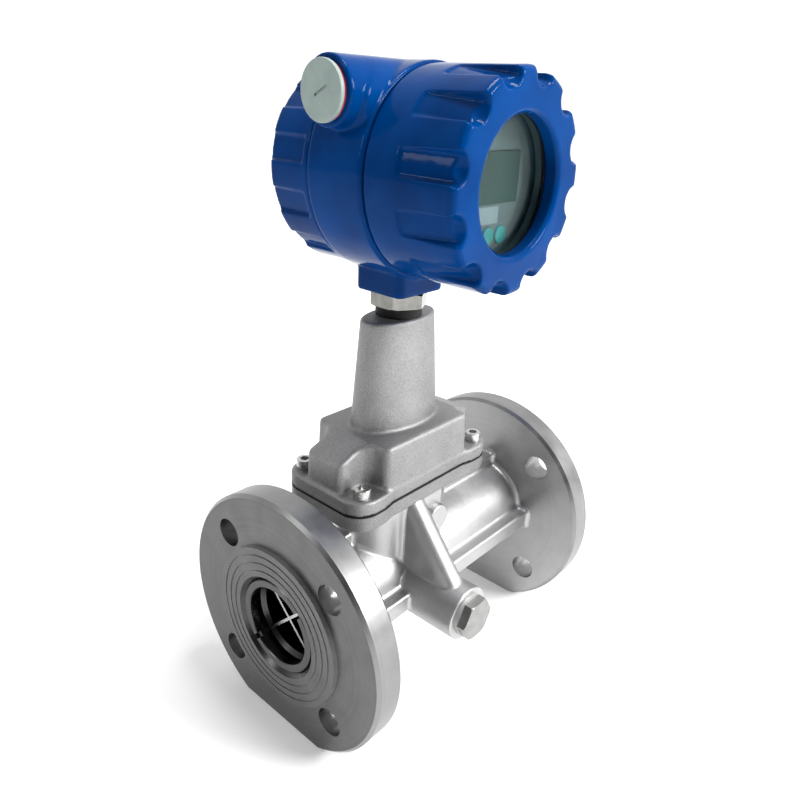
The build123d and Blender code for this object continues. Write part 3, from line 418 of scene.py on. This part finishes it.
softWasher = mouldedPlastic("softWasher", (0.45, 0.45, 0.44), (0.55, 0.55, 0.54), 0.4, metal=0.6)
clearGlass = windowGlass("clearGlass", (0.90, 0.97, 0.95))
print("finishes mixed")


# smooth skins over the nodes that show
smoothing = {"belowAngle": 28, "weldWithin": 0.000002, "flatWeight": 100, "rub": 0.5}


def pickOnly(obj):
    if bpy.context.object is not None and bpy.context.object.mode != "OBJECT":
        bpy.ops.object.mode_set(mode="OBJECT")
    bpy.ops.object.select_all(action="DESELECT")
    obj.select_set(True)
    bpy.context.view_layer.objects.active = obj


def shadeFresh(piece):
    # smooth shading across blunt edges only, with nothing kept of the loaded normals
    if piece.data.has_custom_normals:
        bpy.ops.mesh.customdata_custom_splitnormals_clear()
    bpy.ops.object.shade_smooth_by_angle(angle=math.radians(smoothing["belowAngle"]))


def smoothCopy(node):
    # the node's loose triangles, merged and shaded smooth
    pickOnly(frame["nodes"][node])
    bpy.ops.object.duplicate()
    piece = bpy.context.active_object
    piece.name = node + "_skin"
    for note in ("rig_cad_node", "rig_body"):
        if note in piece:
            del piece[note]
    piece.data.materials.clear()
    pickOnly(piece)
    if piece.data.has_custom_normals:
        bpy.ops.mesh.customdata_custom_splitnormals_clear()
    bpy.ops.object.mode_set(mode="EDIT")
    bpy.ops.mesh.select_all(action="SELECT")
    bpy.ops.mesh.remove_doubles(threshold=smoothing["weldWithin"])
    bpy.ops.object.mode_set(mode="OBJECT")
    shadeFresh(piece)
    flats = piece.modifiers.new("evenFlats", "WEIGHTED_NORMAL")
    flats.weight = smoothing["flatWeight"]
    flats.keep_sharp = True
    bpy.ops.object.modifier_apply(modifier="evenFlats")
    return piece


# the castings with rounded edges: size of the small faces in metres, and how often they are rubbed
softCastings = {
    "sensor_cover": {"grain": 0.0010, "passes": 3},
    "head_housing": {"grain": 0.0009, "passes": 3},
    "front_cover": {"grain": 0.00075, "passes": 3},
    "rear_cover": {"grain": 0.0008, "passes": 3},
}


def softenEdges(piece, grain, passes):
    # an even skin of small faces, rubbed down so that every edge is rounded as on a casting
    pickOnly(piece)
    skin = piece.modifiers.new("evenSkin", "REMESH")
    skin.mode = "VOXEL"
    skin.voxel_size = grain
    bpy.ops.object.modifier_apply(modifier="evenSkin")
    rub = piece.modifiers.new("rubbedEdges", "SMOOTH")
    rub.factor = smoothing["rub"]
    rub.iterations = passes
    bpy.ops.object.modifier_apply(modifier="rubbedEdges")
    bpy.ops.object.shade_smooth()
    print("softened", piece.name, len(piece.data.polygons), "faces")


# the slot in a conduit plug, in metres, and its turn in degrees
plugSlot = {"long": 0.0090, "wide": 0.0013, "deep": 0.0008, "turn": 28}


def cutPlugSlot(piece, node):
    # a moulded slot across the plug's disc, for a coin or a screwdriver
    low, high = (Vector(corner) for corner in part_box(node))
    middle = (low + high) / 2
    face = low.x if middle.x < sensorAxis else high.x
    bpy.ops.object.select_all(action="DESELECT")
    bpy.ops.mesh.primitive_cube_add(size=1, location=(face, middle.y, middle.z),
                                    rotation=(-math.radians(plugSlot["turn"]), 0, 0),
                                    scale=(2 * plugSlot["deep"], plugSlot["long"], plugSlot["wide"]))
    tool = bpy.context.active_object
    pickOnly(piece)
    cut = piece.modifiers.new("slot", "BOOLEAN")
    cut.operation = "DIFFERENCE"
    cut.solver = "EXACT"
    cut.object = tool
    bpy.ops.object.modifier_apply(modifier="slot")
    pickOnly(tool)
    bpy.ops.object.delete()
    pickOnly(piece)
    shadeFresh(piece)


bodyOf = {node: obj["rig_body"] for node, obj in frame["nodes"].items()}

# each node that gets a skin, with the skin's slot name and finish
skins = {
    "sensor_cover": ("cast_aluminium", blastedAluminium),
    "side_port_plug": ("plain_steel", hexPlugSteel),
    "side_port_washer": ("soft_washer", softWasher),
    "cover_gasket": ("black_rubber", blackRubber),
    "cover_screws": ("plain_steel", brightSteelAndEdgeHighlight),
    "neck_seal": ("black_rubber", blackRubber),
    "lock_nut": ("nickel", nickelPlate),
    "inlet_retaining_ring": ("turned_steel", ringInPaintedShade),
    "outlet_retaining_ring": ("turned_steel", ringInPaintedShade),
    "inlet_swirler": ("turned_steel", paintedBoreShade),
    "outlet_deswirler": ("turned_steel", paintedBoreShade),
    "head_housing": ("blue_paint", blueEnamel),
    "front_cover": ("blue_paint", blueEnamel),
    "rear_cover": ("blue_paint", blueEnamel),
    "conduit_plug_left": ("grey_plastic", transportPlastic),
    "conduit_plug_right": ("grey_plastic", transportPlastic),
    "conduit_seal_left": ("red_rubber", redRubber),
    "conduit_seal_right": ("red_rubber", redRubber),
    "window_glass": ("clear_glass", clearGlass),
    "display_bezel": ("grey_plastic", displayPlastic),
    "lcd_panel": ("lcd_glass", screenGlass),
    "button_1": ("teal_plastic", tealPlastic),
    "button_2": ("teal_plastic", tealPlastic),
    "button_3": ("teal_plastic", tealPlastic),
}

for node, (slotName, finish) in skins.items():
    skin = smoothCopy(node)
    if node in softCastings:
        softenEdges(skin, **softCastings[node])
    if node.startswith("conduit_plug"):
        cutPlugSlot(skin, node)
    skin.data.materials.append(finish)
    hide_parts(node)
    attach(skin, bodyOf[node])

# nodes that are hidden or lie behind the glass keep their own solids and only change colour
plainNodes = {
    "vortex_sensor": brightSteelAndEdgeHighlight,
    "sensor_o_ring": blackRubber,
    "sensor_screws": brightSteelAndEdgeHighlight,
    "neck_stem": brightSteelAndEdgeHighlight,
    "stem_clip": darkSteel,
    "front_cover_o_ring": blackRubber,
    "rear_cover_o_ring": blackRubber,
    "window_gasket": blackRubber,
    "window_ring": displayPlastic,
    "electronics_module": blackPlastic,
    "board_posts": brassParts,
    "display_board": boardGreen,
    "display_label": labelPaper,
    "button_switches": blackPlastic,
    "terminal_board": boardGreen,
    "terminal_block": terminalPlastic,
    "terminal_screws": brassParts,
    "ground_screw": brassParts,
}
for node, finish in plainNodes.items():
    mesh = frame["nodes"][node].data
    mesh.materials.clear()
    mesh.materials.append(finish)

print("nodes dressed:", len(skins), "skins and", len(plainNodes), "plain")


# turned and blasted faces, and the faces that get painted shade or a painted highlight, picked by
# where they are and where they look: metres, and shares of one
faceLimits = {
    "flangeFrom": 0.0925,
    "faceOutwards": 0.739,
    "faceInner": 0.029,
    "backOutwards": -0.8,
    "backSlack": 0.0003,
    "rimTilt": 0.85,
    "rimInner": 0.052,
    "padFrom": 0.1338,
    "padInner": 0.055,
    "padReach": 0.09,
    "boreOuter": 0.034,
    "boreInwards": 0.3,
    "plateOuter": 0.0245,
    "plateTilt": 0.9,
}


def fromPipeAxis(point):
    return math.hypot(point.y, point.z - pipe["high"])


def outwards(point, normal):
    # 1 on the very end of the pipe where it looks straight out, below 0 where a face looks back in
    return normal.x * point.x / pipe["halfLength"]


def onFlangeFace(point, normal):
    return (abs(point.x) > faceLimits["flangeFrom"]
            and outwards(point, normal) > faceLimits["faceOutwards"]
            and fromPipeAxis(point) > faceLimits["faceInner"])


def onFlangeBack(point, normal):
    # the flat back of each disc, up to where it is rounded into the barrel
    return (abs(abs(point.x) - pipe["flangeInner"]) < faceLimits["backSlack"]
            and outwards(point, normal) < faceLimits["backOutwards"])


def onFlangeRim(point, normal):
    return (abs(point.x) > faceLimits["flangeFrom"]
            and abs(normal.x) <= faceLimits["rimTilt"]
            and fromPipeAxis(point) > faceLimits["rimInner"])


def onPad(point, normal):
    # the pad under the gasket is blasted as the cover is
    return (point.z > faceLimits["padFrom"]
            and fromPipeAxis(point) > faceLimits["padInner"]
            and abs(point.x) < faceLimits["padReach"])


def inBore(point, normal):
    # the bore, its pockets and their bevels look inwards; these faces get painted shade
    away = fromPipeAxis(point)
    inwards = normal.y * point.y + normal.z * (point.z - pipe["high"])
    return away < faceLimits["boreOuter"] and inwards < -faceLimits["boreInwards"] * away


def onPaintedHighlightEdge(point, normal):
    # the thin edges of the plates and vanes, which get a painted highlight
    return abs(normal.x) > faceLimits["plateTilt"] and fromPipeAxis(point) < faceLimits["plateOuter"]


def paintFaces(piece, finish, wanted):
    # the faces that are wanted get the finish
    pickOnly(piece)
    piece.data.materials.append(finish)
    bpy.ops.object.mode_set(mode="EDIT")
    bpy.ops.mesh.select_all(action="DESELECT")
    bpy.ops.object.mode_set(mode="OBJECT")
    for face in piece.data.polygons:
        face.select = wanted(face.center, face.normal)
    bpy.ops.object.mode_set(mode="EDIT")
    bpy.ops.mesh.select_mode(type="FACE")
    piece.active_material_index = len(piece.data.materials) - 1
    bpy.ops.object.material_slot_assign()
    bpy.ops.object.mode_set(mode="OBJECT")


# painted highlight: the plate and vane edges get bright steel, the rest of each plate has painted
# shade
for node in ("outlet_deswirler", "inlet_swirler"):
    paintFaces(bpy.data.objects[node + "_skin"], brightSteelAndEdgeHighlight, onPaintedHighlightEdge)

meterBody = smoothCopy("meter_body")
meterBody.data.materials.append(castAluminium)
# painted shade on the outward flange faces
paintFaces(meterBody, flangeFaceInPaintedShade, onFlangeFace)
paintFaces(meterBody, flangeBack, onFlangeBack)
paintFaces(meterBody, flangeRim, onFlangeRim)
paintFaces(meterBody, blastedAluminium, onPad)
# painted shade: the bore, its pockets and bevels are painted near black
paintFaces(meterBody, paintedBoreShade, inBore)
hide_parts("meter_body")
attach(meterBody, bodyOf["meter_body"])
print("pipe body dressed")
